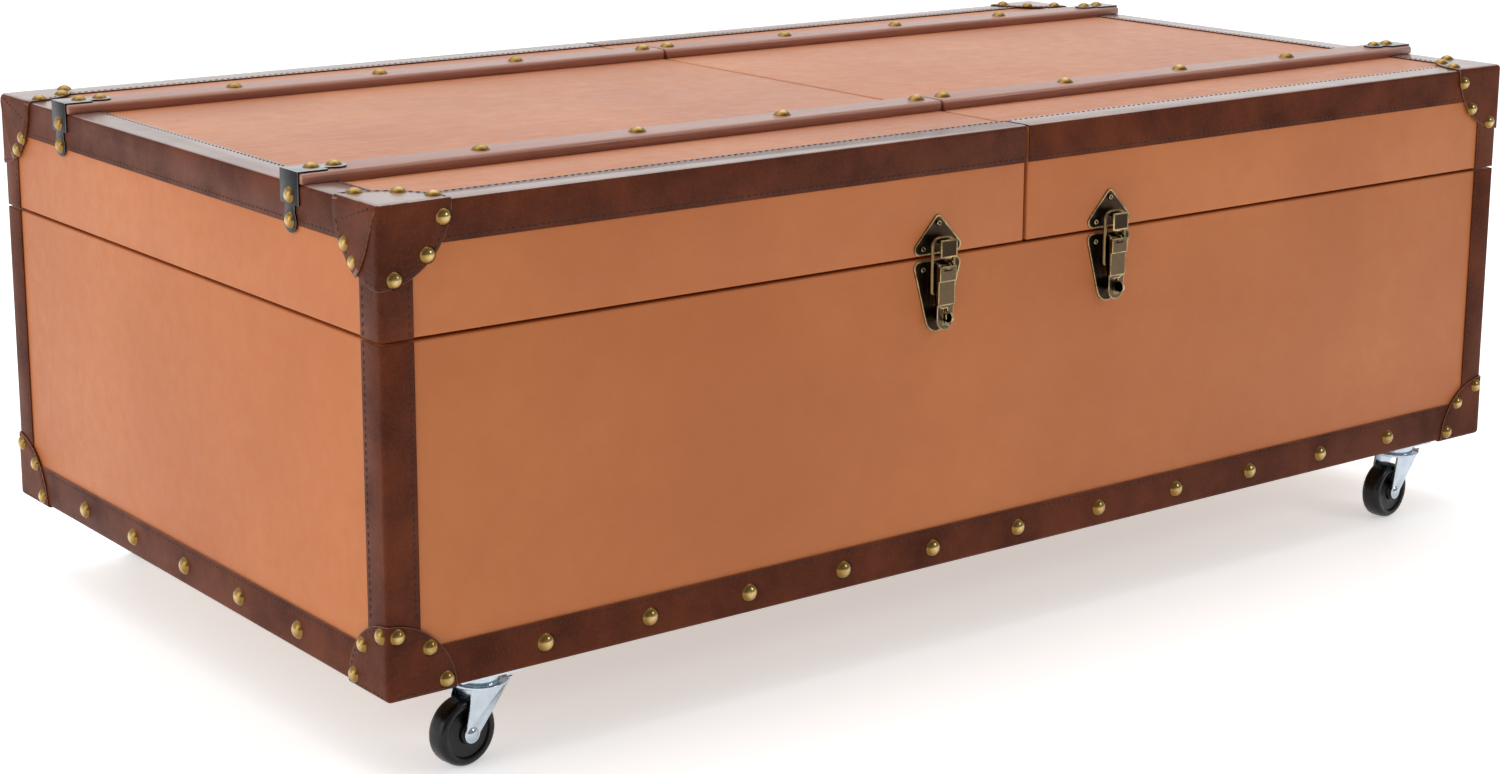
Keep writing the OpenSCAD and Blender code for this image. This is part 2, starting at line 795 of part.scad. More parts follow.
module caster_axle(i) color(ZINC)
    at_caster(i)
        translate([trail, 0, axle_z]) {
            out = leg_inner + leg_t;
            rotate([90, 0, 0]) cylinder(r = axle_r, h = 2 * out, center = true);
            translate([0, -out, 0]) dome_front(rivet_head_r, rivet_head_h);
            translate([0, out, 0]) dome_back(rivet_head_r, rivet_head_h);
        }

// Half of a wheel's section: radius, then distance from its middle
module wheel_section() {
    rim_in = wheel_r * 0.74;
    hub_r = wheel_r * 0.34;
    web = wheel_w * 0.28;
    edge = 1.5;
    bore_r = axle_r + running_fit;
    polygon([
        [bore_r, -hub_half_w], [hub_r, -hub_half_w], [hub_r + edge, -web],
        [rim_in - edge, -web], [rim_in, -wheel_w / 2], [wheel_r - edge, -wheel_w / 2],
        [wheel_r, edge - wheel_w / 2], [wheel_r, wheel_w / 2 - edge],
        [wheel_r - edge, wheel_w / 2], [rim_in, wheel_w / 2], [rim_in - edge, web],
        [hub_r + edge, web], [hub_r, hub_half_w], [bore_r, hub_half_w]
    ]);
}

module caster_wheel(i) color(BLACK)
    at_caster(i)
        translate([trail, 0, axle_z])
            rotate([90, 0, 0]) rotate_extrude($fn = 96) wheel_section();

// ---------- nodes ----------

case_floor();
case_long_wall(-1);  // case_front
case_long_wall(1);  // case_back
case_end_wall(LEFT);  // case_end_left
case_end_wall(RIGHT);  // case_end_right
case_tongue();
foot_binding();
case_corner_bindings();
foot_corner_caps();
case_nails();
hinge_leaves_case();
hinge_pins();
hinge_screws_case();
latch_plate_case(LEFT);  // latch_plate_case_left
latch_plate_case(RIGHT);  // latch_plate_case_right
latch_rivets_case();
latch_lever(LEFT);  // latch_lever_left
latch_lever(RIGHT);  // latch_lever_right
latch_loop(LEFT);  // latch_loop_left
latch_loop(RIGHT);  // latch_loop_right
caster_plates();
caster_screws();
caster_fork(0);  // caster_fork_fl
caster_fork(1);  // caster_fork_fr
caster_fork(2);  // caster_fork_bl
caster_fork(3);  // caster_fork_br
caster_axle(0);  // caster_axle_fl
caster_axle(1);  // caster_axle_fr
caster_axle(2);  // caster_axle_bl
caster_axle(3);  // caster_axle_br
caster_wheel(0);  // caster_wheel_fl
caster_wheel(1);  // caster_wheel_fr
caster_wheel(2);  // caster_wheel_bl
caster_wheel(3);  // caster_wheel_br
lid_top(LEFT);  // lid_top_left
lid_long_wall(LEFT, -1);  // lid_front_left
lid_long_wall(LEFT, 1);  // lid_back_left
lid_cross_wall(LEFT, true);  // lid_end_left
lid_cross_wall(LEFT, false);  // lid_split_end_left
lid_binding(LEFT);  // lid_binding_left
lid_corner_caps(LEFT);  // lid_corner_caps_left
lid_slats(LEFT);  // lid_slats_left
lid_clips(LEFT);  // lid_clips_left
lid_nails(LEFT);  // lid_nails_left
hinge_leaves_lid(LEFT);  // hinge_leaves_lid_left
latch_plate_lid(LEFT);  // latch_plate_lid_left
lid_rivets(LEFT);  // lid_rivets_left
lid_top(RIGHT);  // lid_top_right
lid_long_wall(RIGHT, -1);  // lid_front_right
lid_long_wall(RIGHT, 1);  // lid_back_right
lid_cross_wall(RIGHT, true);  // lid_end_right
lid_cross_wall(RIGHT, false);  // lid_split_end_right
lid_binding(RIGHT);  // lid_binding_right
lid_corner_caps(RIGHT);  // lid_corner_caps_right
lid_slats(RIGHT);  // lid_slats_right
lid_clips(RIGHT);  // lid_clips_right
lid_nails(RIGHT);  // lid_nails_right
hinge_leaves_lid(RIGHT);  // hinge_leaves_lid_right
latch_plate_lid(RIGHT);  // latch_plate_lid_right
lid_rivets(RIGHT);  // lid_rivets_right
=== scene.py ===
"""A low leather-covered trunk on casters, with two lids, wooden slats and brass nails."""

import json
import math
import random

import bmesh
import bpy
from mathutils import Matrix, Vector


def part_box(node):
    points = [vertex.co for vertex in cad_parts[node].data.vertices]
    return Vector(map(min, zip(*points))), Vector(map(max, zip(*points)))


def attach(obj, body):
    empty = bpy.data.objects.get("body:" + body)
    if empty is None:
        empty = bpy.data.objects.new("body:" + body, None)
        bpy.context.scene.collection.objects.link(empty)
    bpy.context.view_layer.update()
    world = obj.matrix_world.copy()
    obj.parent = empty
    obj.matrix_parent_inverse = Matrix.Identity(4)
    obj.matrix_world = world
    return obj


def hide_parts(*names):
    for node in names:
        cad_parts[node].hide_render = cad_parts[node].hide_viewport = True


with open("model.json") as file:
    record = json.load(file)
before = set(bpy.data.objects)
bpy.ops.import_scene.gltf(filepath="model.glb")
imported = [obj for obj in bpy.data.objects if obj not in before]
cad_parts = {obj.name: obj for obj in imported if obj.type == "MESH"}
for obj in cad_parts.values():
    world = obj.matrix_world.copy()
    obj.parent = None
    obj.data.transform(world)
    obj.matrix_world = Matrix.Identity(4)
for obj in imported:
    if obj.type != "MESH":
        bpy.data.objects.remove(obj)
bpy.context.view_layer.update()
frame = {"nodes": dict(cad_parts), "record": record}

MM = 0.001
X, Y, Z = Vector((1, 0, 0)), Vector((0, 1, 0)), Vector((0, 0, 1))
SIDES = {"left": -1, "right": 1}
CASTERS = ("fl", "fr", "bl", "br")


# ---------- sizes ----------

# Points closer than MERGE are one point; a face within NEAR of a plane lies on it.
MERGE = 0.001 * MM
NEAR = 0.01 * MM

# Rounding of the covered boards, of folded leather and of its cut edges.
EDGE_ROUND = 1.6 * MM
FOLD_ROUND = 3.0 * MM
CUT_ROUND = 0.35 * MM

# Corner caps: leather thickness, rounding, spokes to a quarter turn, and the lid caps' flap.
CAP_T = 1.1 * MM
CAP_ROUND = 3.8 * MM
CAP_STEPS = 24
FLAP_TURN = 63.0
FLAP_STEPS = 18
FLAP_LIFT = 0.75 * MM
FLAP_CURL = 1.1 * MM

# Widths of the strips and bands over the box, from its outer planes, and the caps' reach.
STRIP_W = 25.2 * MM
EDGE_BAND = 28.2 * MM
CAP_CLEAR = 50 * MM

# Stitches: pitch, size, distance from the cut edge, and how far one may slant.
STITCH_PITCH = 5.5 * MM
STITCH = Vector((3.9, 1.25, 0.8)) * MM
STITCH_INSET = 3.2 * MM
STITCH_SLANT = 0.09

# Nails and rivets: facets round a head, rings on a nail's dome, and its width inside the brim.
NAIL_FACETS = 20
RIVET_FACETS = 14
DOME_RINGS = 7
DOME_WIDTH = 0.985

# Slats: rounding, and how far below the top the wear is most and where it ends.
SLAT_ROUND = 0.8 * MM
SLAT_WEAR_AT = 1.6 * MM
SLAT_WEAR_REACH = 2.2 * MM

# Latches: a plate's rim and how far its face lies below it, and roundings.
RIM_W = 1.5 * MM
RIM_RISE = 0.45 * MM
RIM_ROUND = 0.55 * MM
BLOCK_ROUND = 0.5 * MM
BLOCK_WORN_BAND = 0.9 * MM
LEVER_ROUND = 0.4 * MM
LEVER_WORN_BAND = 0.8 * MM

# Clips, hinges and casters.
CLIP_ROUND = 0.35 * MM
HINGE_ROUND = 0.45 * MM
FORK_ROUND = 0.4 * MM
AXLE_HOLE = 3.05 * MM
WHEEL_HALF = 8.5 * MM
HUB_PROUD = 1 * MM
WHEEL_FACETS = 56


# ---------- material building ----------


def new_material(name):
    """A material with a Principled shader, and the two things that its makers need."""
    material = bpy.data.materials.new(name)
    material.use_nodes = True
    tree = material.node_tree
    return material, tree, tree.nodes["Principled BSDF"]


def add(tree, kind, values=None, **settings):
    """A node of that kind, with its settings, and its sockets set or linked by name or number."""
    made = tree.nodes.new("ShaderNode" + kind)
    for key, value in settings.items():
        setattr(made, key, value)
    for key, value in (values or {}).items():
        if isinstance(value, bpy.types.NodeSocket):
            tree.links.new(value, made.inputs[key])
        else:
            made.inputs[key].default_value = value
    return made


def place(tree, scale=(1, 1, 1), turn=(0, 0, 0)):
    """Object coordinates, stretched and turned."""
    coordinates = add(tree, "TexCoord").outputs["Object"]
    mapping = {"Vector": coordinates, "Scale": scale, "Rotation": turn}
    return add(tree, "Mapping", mapping).outputs["Vector"]


def noise(tree, vector, scale, detail=3.0, roughness=0.5, distortion=0.0):
    values = {
        "Vector": vector,
        "Scale": scale,
        "Detail": detail,
        "Roughness": roughness,
        "Distortion": distortion,
    }
    return add(tree, "TexNoise", values).outputs["Fac"]


def remap(tree, value, from_low, from_high, to_low, to_high):
    values = {0: value, 1: from_low, 2: from_high, 3: to_low, 4: to_high}
    return add(tree, "MapRange", values, clamp=True).outputs[0]


def mix(tree, factor, a, b):
    """The colour a, going to b as the factor rises."""
    values = {0: factor, 6: a, 7: b}
    return add(tree, "Mix", values, data_type="RGBA").outputs[2]


def maths(tree, operation, a, b):
    return add(tree, "Math", {0: a, 1: b}, operation=operation).outputs[0]


def bump(tree, height, distance, strength=1.0, below=None):
    values = {"Height": height, "Distance": distance, "Strength": strength}
    if below is not None:
        values["Normal"] = below
    return add(tree, "Bump", values).outputs["Normal"]


def shade(tree, shader, **sockets):
    """Sets or links the shader's sockets; a name's underscores stand for spaces."""
    for key, value in sockets.items():
        socket = shader.inputs[key.replace("_", " ")]
        if isinstance(value, bpy.types.NodeSocket):
            tree.links.new(value, socket)
        else:
            socket.default_value = value


def rgb(red, green, blue):
    """A colour given as 0 to 255 on a screen, in the shader's linear values."""

    def linear(v):
        v /= 255
        return v / 12.92 if v <= 0.04045 else ((v + 0.055) / 1.055) ** 2.4

    return (linear(red), linear(green), linear(blue), 1.0)


# ---------- materials ----------


def pore_pattern(tree, vector, scale):
    """The distance from each of a leather's pores."""
    values = {"Vector": vector, "Scale": scale, "Randomness": 1.0}
    return add(tree, "TexVoronoi", values).outputs["Distance"]


def tan_leather(name, light, dark, wrinkled=False):
    """Smooth tan leather with a fine grain; the lids' tops have long shallow wrinkles too, with
    painted highlight on their ridges and painted shade in their troughs.
    """
    material, tree, shader = new_material(name)
    plain = place(tree)
    clouds = noise(tree, plain, 5, detail=4, roughness=0.55)
    mottle = noise(tree, plain, 70, detail=4, roughness=0.6)
    fine = noise(tree, plain, 420, detail=3, roughness=0.6)
    tone = mix(tree, remap(tree, clouds, 0.35, 0.65, 0, 1), light, dark)
    tone = mix(tree, remap(tree, mottle, 0.4, 0.72, 0, 0.28), tone, dark)
    tone = mix(tree, remap(tree, fine, 0.45, 0.75, 0, 0.18), tone, light)
    pores = pore_pattern(tree, plain, 620)
    grain = bump(tree, pores, 0.00022, 0.35)
    grain = bump(tree, fine, 0.0004, 0.30, below=grain)
    grain = bump(tree, mottle, 0.0012, 0.16, below=grain)
    if wrinkled:
        drawn = place(tree, scale=(0.28, 1, 1))
        ripples = noise(tree, drawn, 95, detail=3, roughness=0.55, distortion=0.6)
        grain = bump(tree, ripples, 0.003, 0.6, below=grain)
        # Painted highlight on the wrinkles' ridges and painted shade in their troughs, following
        # the bump's height.
        tone = mix(tree, remap(tree, ripples, 0.5, 0.72, 0, 0.5), tone, light)
        tone = mix(tree, remap(tree, ripples, 0.28, 0.45, 0.4, 0), tone, dark)
    shade(
        tree,
        shader,
        Base_Color=tone,
        Roughness=remap(tree, mottle, 0.3, 0.7, 0.42, 0.56),
        Specular_IOR_Level=0.5 if wrinkled else 0.24,
        Coat_Weight=0.2 if wrinkled else 0.04,
        Coat_Roughness=0.3,
        Normal=grain,
    )
    return material


def binding_leather(name, light, dark, polish):
    """Dark brown leather with a satin coat; more of one where polish is near 1."""
    material, tree, shader = new_material(name)
    plain = place(tree)
    clouds = noise(tree, plain, 22, detail=5, roughness=0.6)
    fine = noise(tree, plain, 500, detail=3, roughness=0.6)
    tone = mix(tree, remap(tree, clouds, 0.35, 0.68, 0, 1), light, dark)
    tone = mix(tree, remap(tree, fine, 0.5, 0.8, 0, 0.35), tone, rgb(122, 66, 43))
    pores = pore_pattern(tree, plain, 700)
    grain = bump(tree, pores, 0.0002, 0.35)
    grain = bump(tree, clouds, 0.002, 0.18 + 0.3 * polish, below=grain)
    shade(
        tree,
        shader,
        Base_Color=tone,
        Roughness=remap(tree, clouds, 0.3, 0.7, 0.36, 0.5),
        Specular_IOR_Level=0.06 + 0.78 * polish,
        Coat_Weight=0.02 + 0.95 * polish,
        Coat_Roughness=0.2,
        Normal=grain,
    )
    return material


def cut_edge():
    """The raw, burnished edge where the dark leather was cut."""
    material, tree, shader = new_material("cut leather edge")
    fibres = noise(tree, place(tree), 700, detail=3, roughness=0.6)
    mixed = remap(tree, fibres, 0.35, 0.65, 0, 1)
    tone = mix(tree, mixed, rgb(142, 92, 66), rgb(86, 46, 32))
    grain = bump(tree, fibres, 0.0003, 0.3)
    shade(tree, shader, Base_Color=tone, Roughness=0.5, Normal=grain)
    return material


def thread():
    """Waxed dark thread with a twist."""
    material, tree, shader = new_material("dark thread")
    twist = noise(tree, place(tree), 900, detail=2)
    mixed = remap(tree, twist, 0.35, 0.65, 0, 1)
    tone = mix(tree, mixed, rgb(22, 11, 8), rgb(50, 27, 20))
    shade(tree, shader, Base_Color=tone, Roughness=0.6)
    return material


def slat_wood():
    """Reddish stained hardwood with its grain along the slats."""
    material, tree, shader = new_material("slat wood")
    drawn = place(tree, scale=(0.045, 1, 1))
    fibres = noise(tree, drawn, 900, detail=5, roughness=0.65, distortion=0.25)
    bands = noise(tree, drawn, 170, detail=3, roughness=0.5, distortion=0.5)
    mixed = remap(tree, bands, 0.36, 0.66, 0, 1)
    tone = mix(tree, mixed, rgb(158, 96, 76), rgb(130, 72, 56))
    tone = mix(tree, remap(tree, fibres, 0.45, 0.75, 0, 0.7), tone, rgb(88, 42, 33))
    worn = add(tree, "Attribute", attribute_name="rubbed").outputs["Fac"]
    worn = maths(tree, "MULTIPLY", worn, remap(tree, bands, 0.35, 0.6, 0.25, 0.8))
    tone = mix(tree, worn, tone, rgb(206, 152, 124))
    grain = bump(tree, fibres, 0.0006, 0.4)
    shade(
        tree,
        shader,
        Base_Color=tone,
        Roughness=remap(tree, fibres, 0.3, 0.7, 0.34, 0.5),
        Coat_Weight=0.5,
        Coat_Roughness=0.25,
        Normal=grain,
    )
    return material


def metal(name, body, rubbed, roughness, metallic=1.0, worn_amount=0.75, blotch=60):
    """Metal that is paler or brighter on its rubbed edges, where the mesh's own mark says so."""
    material, tree, shader = new_material(name)
    plain = place(tree)
    spots = noise(tree, plain, blotch * 10, detail=4, roughness=0.6)
    clouds = noise(tree, plain, blotch, detail=4, roughness=0.6)
    tarnished = tuple(0.62 * v for v in body[:3]) + (1.0,)
    dull = mix(tree, remap(tree, clouds, 0.35, 0.65, 0, 0.45), body, tarnished)
    rub = add(tree, "Attribute", attribute_name="rubbed").outputs["Fac"]
    rub = maths(tree, "MULTIPLY", rub, remap(tree, clouds, 0.38, 0.56, 0.3, 1.0))
    rub = maths(tree, "MULTIPLY", rub, remap(tree, spots, 0.3, 0.6, 0.5, 1.0))
    rub = maths(tree, "MULTIPLY", rub, worn_amount)
    tone = mix(tree, rub, dull, rubbed)
    shade(
        tree,
        shader,
        Base_Color=tone,
        Metallic=metallic,
        Roughness=remap(tree, spots, 0.3, 0.7, roughness - 0.06, roughness + 0.08),
        Normal=bump(tree, spots, 0.0002, 0.25),
    )
    return material


def wheel_plastic():
    """Hard black plastic, scuffed grey in places."""
    material, tree, shader = new_material("wheel plastic")
    plain = place(tree)
    scuffs = noise(tree, plain, 260, detail=4, roughness=0.7)
    scuffed = remap(tree, scuffs, 0.5, 0.8, 0, 0.6)
    tone = mix(tree, scuffed, rgb(5, 5, 6), rgb(17, 17, 18))
    shade(
        tree,
        shader,
        Base_Color=tone,
        Specular_IOR_Level=0.35,
        Roughness=remap(tree, scuffs, 0.3, 0.75, 0.2, 0.4),
        Normal=bump(tree, scuffs, 0.0003, 0.15),
    )
    return material


def lining_cloth():
    """Plain woven cotton, glued inside the case and the lids."""
    material, tree, shader = new_material("lining cloth")
    plain = place(tree)
    weave = None
    for turn in ((0, 0, 0), (0, math.radians(90), 0), (0, 0, math.radians(90))):
        values = {"Vector": place(tree, turn=turn), "Scale": 210, "Distortion": 0.4}
        threads = add(tree, "TexWave", values).outputs["Fac"]
        weave = threads if weave is None else maths(tree, "ADD", weave, threads)
    clouds = noise(tree, plain, 14, detail=3)
    mixed = remap(tree, clouds, 0.35, 0.65, 0, 1)
    tone = mix(tree, mixed, rgb(216, 203, 176), rgb(200, 185, 156))
    shade(
        tree,
        shader,
        Base_Color=tone,
        Roughness=0.9,
        Sheen_Weight=0.2,
        Normal=bump(tree, weave, 0.0003, 0.3),
    )
    return material


def floor_board():
    """Plain plywood under the case."""
    material, tree, shader = new_material("floor board")
    drawn = place(tree, scale=(0.06, 1, 1))
    figure = noise(tree, drawn, 60, detail=5, roughness=0.6, distortion=1.2)
    mixed = remap(tree, figure, 0.35, 0.65, 0, 1)
    tone = mix(tree, mixed, rgb(150, 116, 78), rgb(116, 84, 54))
    grain = bump(tree, figure, 0.001, 0.2)
    shade(tree, shader, Base_Color=tone, Roughness=0.7, Normal=grain)
    return material


TAN = tan_leather("tan leather", rgb(190, 114, 64), rgb(178, 103, 57))
# The lids' top leather is paler than the sides: part of that is a painted sheen of the light from
# above.
TAN_TOP_PAINTED_SHEEN = tan_leather("lid top leather with painted sheen", rgb(196, 124, 80), rgb(180, 108, 68), True)
BINDING = binding_leather("binding leather", rgb(98, 48, 27), rgb(70, 32, 18), 0.0)
# Faces of the bands and caps that look up: a paler copy of the binding, a painted sheen of the
# light from above, with a glossier coat.
BINDING_TOP_PAINTED_SHEEN = binding_leather(
    "binding leather with painted top sheen", rgb(124, 82, 66), rgb(98, 60, 46), 1.0
)
CUT_EDGE = cut_edge()
THREAD = thread()
SLAT = slat_wood()
BRASS = metal("nail brass", rgb(140, 108, 56), rgb(246, 218, 152), 0.22, worn_amount=0.9)
# The clips' tops are pale grey: a painted reflection of the bright light above on the blackened
# iron.
CLIP_TOP_PAINTED_REFLECTION = metal("clip top with painted reflection", rgb(168, 172, 172), rgb(226, 228, 228), 0.24)
IRON = metal("blackened iron", rgb(46, 47, 50), rgb(150, 150, 150), 0.3)
LEVER_BRONZE = metal(
    "lever bronze", rgb(98, 82, 62), rgb(222, 200, 152), 0.3, worn_amount=0.9, blotch=110
)
# The tongue inside the case rim is near black: painted shade, so the gap between lid and case
# looks dark.
TONGUE_PAINTED_SHADE = metal("tongue painted black for gap shade", rgb(26, 19, 16), rgb(26, 19, 16), 0.7, metallic=0.0)
BRONZE = metal("latch bronze", rgb(58, 45, 34), rgb(216, 192, 142), 0.32, worn_amount=0.95)
WIRE = metal("loop brass", rgb(132, 110, 74), rgb(216, 192, 142), 0.3)
ZINC = metal("zinc plate", rgb(198, 210, 220), rgb(236, 241, 246), 0.2)
PLASTIC = wheel_plastic()
LINING = lining_cloth()
BOARD = floor_board()


# ---------- mesh helpers ----------


def merged_copy(node):
    """A copy of a CAD node's mesh, with its loose triangles joined."""
    bm = bmesh.new()
    bm.from_mesh(frame["nodes"][node].data)
    bmesh.ops.remove_doubles(bm, verts=bm.verts, dist=MERGE)
    return bm


def cad_mesh(node):
    """A joined copy of a CAD node's mesh, with its flat faces whole."""
    bm = merged_copy(node)
    bmesh.ops.dissolve_limit(
        bm,
        angle_limit=math.radians(0.5),
        use_dissolve_boundaries=False,
        verts=bm.verts,
        edges=bm.edges,
    )
    return bm


def islands(node):
    """The lowest and highest corners of each separate piece of a CAD node."""
    bm = merged_copy(node)
    seen, found = set(), []
    for start in bm.verts:
        if start in seen:
            continue
        stack, group = [start], []
        seen.add(start)
        while stack:
            vert = stack.pop()
            group.append(vert.co.copy())
            for edge in vert.link_edges:
                other = edge.other_vert(vert)
                if other not in seen:
                    seen.add(other)
                    stack.append(other)
        low = Vector([min(p[i] for p in group) for i in range(3)])
        high = Vector([max(p[i] for p in group) for i in range(3)])
        found.append((low, high))
    bm.free()
    return found


def finish_piece(name, bm, materials, body, nodes=(), smooth=35, recalc=False):
    """Turns a bmesh into a piece that rides on a body and stands for CAD nodes."""
    if recalc:
        bmesh.ops.recalc_face_normals(bm, faces=bm.faces)
    mesh = bpy.data.meshes.new(name)
    bm.to_mesh(mesh)
    bm.free()
    for material in materials:
        mesh.materials.append(material)
    for polygon in mesh.polygons:
        polygon.use_smooth = True
    mesh.set_sharp_from_angle(angle=math.radians(smooth))
    piece = bpy.data.objects.new(name, mesh)
    bpy.context.scene.collection.objects.link(piece)
    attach(piece, body)
    if nodes:
        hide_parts(*nodes)


def dress_node(node, material):
    """Gives a CAD node that keeps its shape one material."""
    materials = frame["nodes"][node].data.materials
    materials.clear()
    materials.append(material)


def bevel(bm, edges, width, segments):
    """Rounds some edges, and returns the faces of the rounding."""
    made = bmesh.ops.bevel(
        bm,
        geom=list(edges),
        offset=width,
        offset_type="OFFSET",
        segments=segments,
        profile=0.5,
        affect="EDGES",
        clamp_overlap=True,
        material=-1,
    )
    return made["faces"]


def sharp_edges(bm, angle=28):
    """The edges between two faces that turn by more than an angle in degrees."""
    limit = math.radians(angle)
    return [e for e in bm.edges if len(e.link_faces) == 2 and e.calc_face_angle() > limit]


def outer_edges(bm, angle):
    """The sharp edges that point outwards."""
    return [e for e in sharp_edges(bm, angle) if e.is_convex]


def rub(faces, layer, amount):
    """Marks every point of some faces as that much rubbed, for their metal's bright colour."""
    for face in faces:
        for vert in face.verts:
            vert[layer] = amount


def eased(node, width):
    """A CAD node's mesh with its outer edges eased, and rubbed along their middle."""
    bm = cad_mesh(node)
    layer = bm.verts.layers.float.new("rubbed")
    rounded = set(bevel(bm, outer_edges(bm, 35), width, 2))
    for face in rounded:
        for vert in face.verts:
            if all(f in rounded for f in vert.link_faces):
                vert[layer] = 1.0
    return bm


def eased_piece(name, node, body, material, width):
    finish_piece(name, eased(node, width), [material], body, [node], smooth=40)


def worn_piece(name, node, body, material, width, band):
    """A piece with its outer edges eased and a band worn along them."""
    bm = cad_mesh(node)
    layer = bm.verts.layers.float.new("rubbed")
    rounded = set(bevel(bm, outer_edges(bm, 35), width, 2))
    rub(rounded, layer, 1.0)
    broad = [f for f in bm.faces if f not in rounded and f.calc_area() > 9 * band**2]
    bmesh.ops.inset_individual(bm, faces=broad, thickness=band, use_even_offset=True)
    rub(broad, layer, 0.0)
    finish_piece(name, bm, [material], body, [node], smooth=40)


def cuboid(low, high):
    """A plain box between two corners."""
    bm = bmesh.new()
    size = high - low
    where = Matrix.Translation((low + high) / 2) @ Matrix.Diagonal((*size, 1))
    bmesh.ops.create_cube(bm, size=1, matrix=where)
    return bm


def on_plane(part, axis, value, near=NEAR):
    """Whether all of a face or an edge lies at one value along an axis."""
    return all(abs(v.co[axis] - value) < near for v in part.verts)


# ---------- case and lids ----------

case_low, front_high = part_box("case_front")
case_high = Vector((front_high.x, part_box("case_back")[1].y, front_high.z))
case_wall = front_high.y - case_low.y
lid_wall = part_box("lid_front_left")[1].y - case_low.y


def set_in(bm, faces, width, depth=0.0):
    """Sets some faces in from their outline by a width, and down by a depth."""
    bmesh.ops.inset_region(
        bm,
        faces=faces,
        thickness=width,
        depth=-depth,
        use_even_offset=True,
        use_boundary=True,
    )


def line_inside(bm, low, high):
    """Gives every face inside a shell the lining's material."""
    for face in bm.faces:
        centre = face.calc_center_median()
        inside = all(low[i] + 3 * MM < centre[i] < high[i] - 3 * MM for i in range(2))
        if inside and low.z + 0.5 * MM < centre.z < high.z - 3 * MM:
            face.material_index = 1


def round_outside(bm, low, high, width):
    """Rounds the edges that lie on two outer planes of a box."""
    outer = []
    for edge in bm.edges:
        count = 0
        for axis in range(3):
            for value in (low[axis], high[axis]):
                count += on_plane(edge, axis, value)
        if count >= 2:
            outer.append(edge)
    bevel(bm, outer, width, 3)


def make_case():
    """The four walls as one leather-covered ring, lined inside."""
    bm = cuboid(case_low, case_high)
    level = (case_low.z, case_high.z)
    openings = [f for f in bm.faces if any(on_plane(f, 2, z) for z in level)]
    inner = []
    for face in openings:
        set_in(bm, [face], case_wall)
        inner += list(face.edges)
    bmesh.ops.delete(bm, geom=openings, context="FACES_ONLY")
    bmesh.ops.bridge_loops(bm, edges=inner)
    bmesh.ops.recalc_face_normals(bm, faces=bm.faces)
    line_inside(bm, case_low, case_high)
    round_outside(bm, case_low, case_high, EDGE_ROUND)
    finish_piece(
        "case_cover",
        bm,
        [TAN, LINING],
        "case",
        ["case_front", "case_back", "case_end_left", "case_end_right"],
    )


def make_lid(side):
    """One lid as a leather-covered shell, lined inside; its top has the wrinkled leather, paler
    in part as a painted sheen.
    """
    top_low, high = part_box("lid_top_" + side)
    low = Vector((top_low.x, top_low.y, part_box("lid_front_" + side)[0].z))
    bm = cuboid(low, high)
    under = [f for f in bm.faces if on_plane(f, 2, low.z)]
    set_in(bm, under, lid_wall)
    made = bmesh.ops.extrude_face_region(bm, geom=under)
    moved = [v for v in made["geom"] if isinstance(v, bmesh.types.BMVert)]
    bmesh.ops.translate(bm, verts=moved, vec=(0, 0, top_low.z - low.z))
    bmesh.ops.delete(bm, geom=under, context="FACES_ONLY")
    bmesh.ops.recalc_face_normals(bm, faces=bm.faces)
    line_inside(bm, low, high)
    # The top gets the paler leather, in part a painted sheen.
    for face in bm.faces:
        if on_plane(face, 2, high.z):
            face.material_index = 2
    round_outside(bm, low, high, EDGE_ROUND)
    finish_piece(
        "lid_cover_" + side,
        bm,
        [TAN, LINING, TAN_TOP_PAINTED_SHEEN],
        "lid_" + side,
        [f"lid_{p}_{side}" for p in ("top", "front", "back", "end", "split_end")],
    )


make_case()
for side in SIDES:
    make_lid(side)

dress_node("case_floor", BOARD)
# The tongue is near black as painted shade in the gap.
dress_node("case_tongue", TONGUE_PAINTED_SHADE)


# ---------- bindings ----------


def give_tops_painted_light(bm, index):
    """Gives the faces that look up the material of that index, a paler copy that is a painted
    highlight from the light above.
    """
    for face in bm.faces:
        if face.normal.z > 0.8:
            face.material_index = index


def make_binding(name, node, body, open_planes):
    """Folded leather: soft where it turns round the box, crisp where it is cut.

    The open planes are the sides, as (axis, sign), where the band ends in a cut.
    """
    bm = cad_mesh(node)
    low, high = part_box(node)
    folds = []
    for edge in sharp_edges(bm):
        planes = 0
        for face in edge.link_faces:
            for axis in range(3):
                for sign, value in ((-1, low[axis]), (1, high[axis])):
                    if (axis, sign) not in open_planes:
                        planes += on_plane(face, axis, value)
        if planes == 2:
            folds.append(edge)
    bevel(bm, folds, FOLD_ROUND, 5)
    bevel(bm, outer_edges(bm, 60), CUT_ROUND, 2)
    # Faces that look up get the paler copy: a painted sheen.
    give_tops_painted_light(bm, 1)
    finish_piece(
        name, bm, [BINDING, BINDING_TOP_PAINTED_SHEEN], body, [node], smooth=40
    )


make_binding("foot_band", "foot_binding", "case", {(2, 1)})
make_binding("lid_band_left", "lid_binding_left", "lid_left", {(0, 1), (2, -1)})
make_binding("lid_band_right", "lid_binding_right", "lid_right", {(0, -1), (2, -1)})


def make_corner_strips():
    """The four strips up the corners of the case."""
    bm = cad_mesh("case_corner_bindings")
    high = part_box("case_corner_bindings")[1]

    def at_corner(vert):
        return abs(abs(vert.co.x) - high.x) < NEAR and abs(abs(vert.co.y) - high.y) < NEAR

    folds = [e for e in sharp_edges(bm) if all(at_corner(v) for v in e.verts)]
    bevel(bm, folds, FOLD_ROUND, 5)
    bevel(bm, outer_edges(bm, 60), CUT_ROUND, 2)
    finish_piece(
        "case_corner_strips",
        bm,
        [BINDING],
        "case",
        ["case_corner_bindings"],
        smooth=40,
    )


make_corner_strips()


